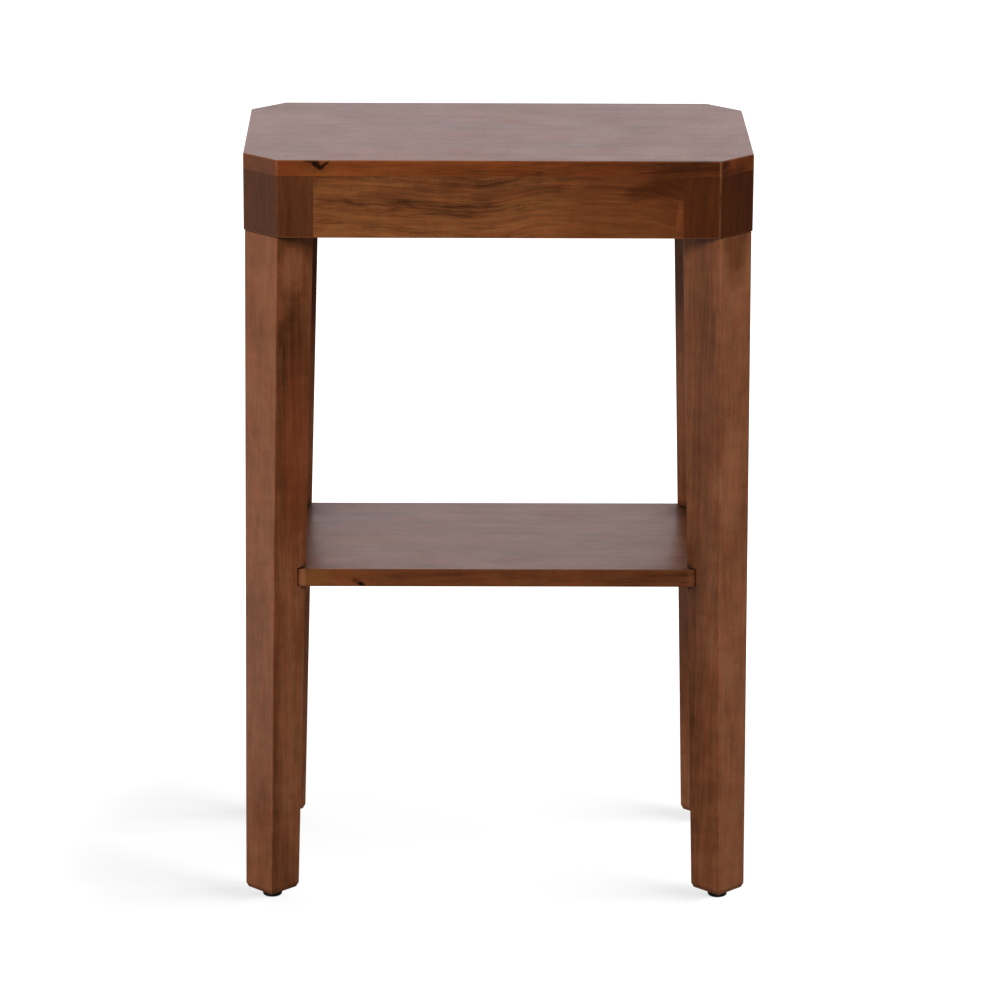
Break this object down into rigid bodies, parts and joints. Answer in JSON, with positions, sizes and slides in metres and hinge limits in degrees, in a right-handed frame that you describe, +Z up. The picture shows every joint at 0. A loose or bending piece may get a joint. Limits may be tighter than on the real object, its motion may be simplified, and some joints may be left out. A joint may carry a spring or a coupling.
{
  "type": "end table with shelf",
  "caption": "Narrow wooden end table: a clipped-corner top on an apron frame, splayed tapered legs set diagonally, a notched-in lower shelf and levelling glides.",
  "frame": {"origin": "on the floor, under the middle of the table, with the glides screwed fully in", "axes": "+X to the right along the long side, +Y from the front to the back, +Z up"},
  "size_m": [0.4636, 0.2604, 0.7035],
  "materials": {
    "top_wood": "satin brown stain and lacquer",
    "shelf_wood": "satin brown stain and lacquer",
    "rail_wood": "satin brown stain and lacquer",
    "block_wood": "satin dark brown stain and lacquer",
    "leg_wood": "satin brown stain and lacquer",
    "dowel_wood": "bare beech",
    "zinc_steel": "zinc plated",
    "insert_brass": "plain",
    "glide_plastic": "black, slightly worn"
  },
  "bodies": {
    "table": {"top_board": "top_wood", "shelf_board": "shelf_wood", "front_rail": "rail_wood", "back_rail": "rail_wood", "left_rail": "rail_wood", "right_rail": "rail_wood", "corner_block_front_left": "block_wood", "leg_front_left": "leg_wood", "corner_block_front_right": "block_wood", "leg_front_right": "leg_wood", "corner_block_back_left": "block_wood", "leg_back_left": "leg_wood", "corner_block_back_right": "block_wood", "leg_back_right": "leg_wood", "rail_dowels": "dowel_wood", "leg_dowels": "dowel_wood", "shelf_dowels": "dowel_wood", "hanger_bolts": "zinc_steel", "bolt_washers": "zinc_steel", "bolt_nuts": "zinc_steel", "top_screws": "zinc_steel", "foot_inserts": "insert_brass"},
    "glide_front_left": {"glide_pad_front_left": "glide_plastic", "glide_stem_front_left": "zinc_steel"},
    "glide_front_right": {"glide_pad_front_right": "glide_plastic", "glide_stem_front_right": "zinc_steel"},
    "glide_back_left": {"glide_pad_back_left": "glide_plastic", "glide_stem_back_left": "zinc_steel"},
    "glide_back_right": {"glide_pad_back_right": "glide_plastic", "glide_stem_back_right": "zinc_steel"}
  },
  "joints": [
    {"name": "glide_screw_front_left", "type": "slide", "parent": "table", "child": "glide_front_left", "axis": [0, 0, -1], "range_m": [0, 0.01]},
    {"name": "glide_screw_front_right", "type": "slide", "parent": "table", "child": "glide_front_right", "axis": [0, 0, -1], "range_m": [0, 0.01]},
    {"name": "glide_screw_back_left", "type": "slide", "parent": "table", "child": "glide_back_left", "axis": [0, 0, -1], "range_m": [0, 0.01]},
    {"name": "glide_screw_back_right", "type": "slide", "parent": "table", "child": "glide_back_right", "axis": [0, 0, -1], "range_m": [0, 0.01]}
  ]
}
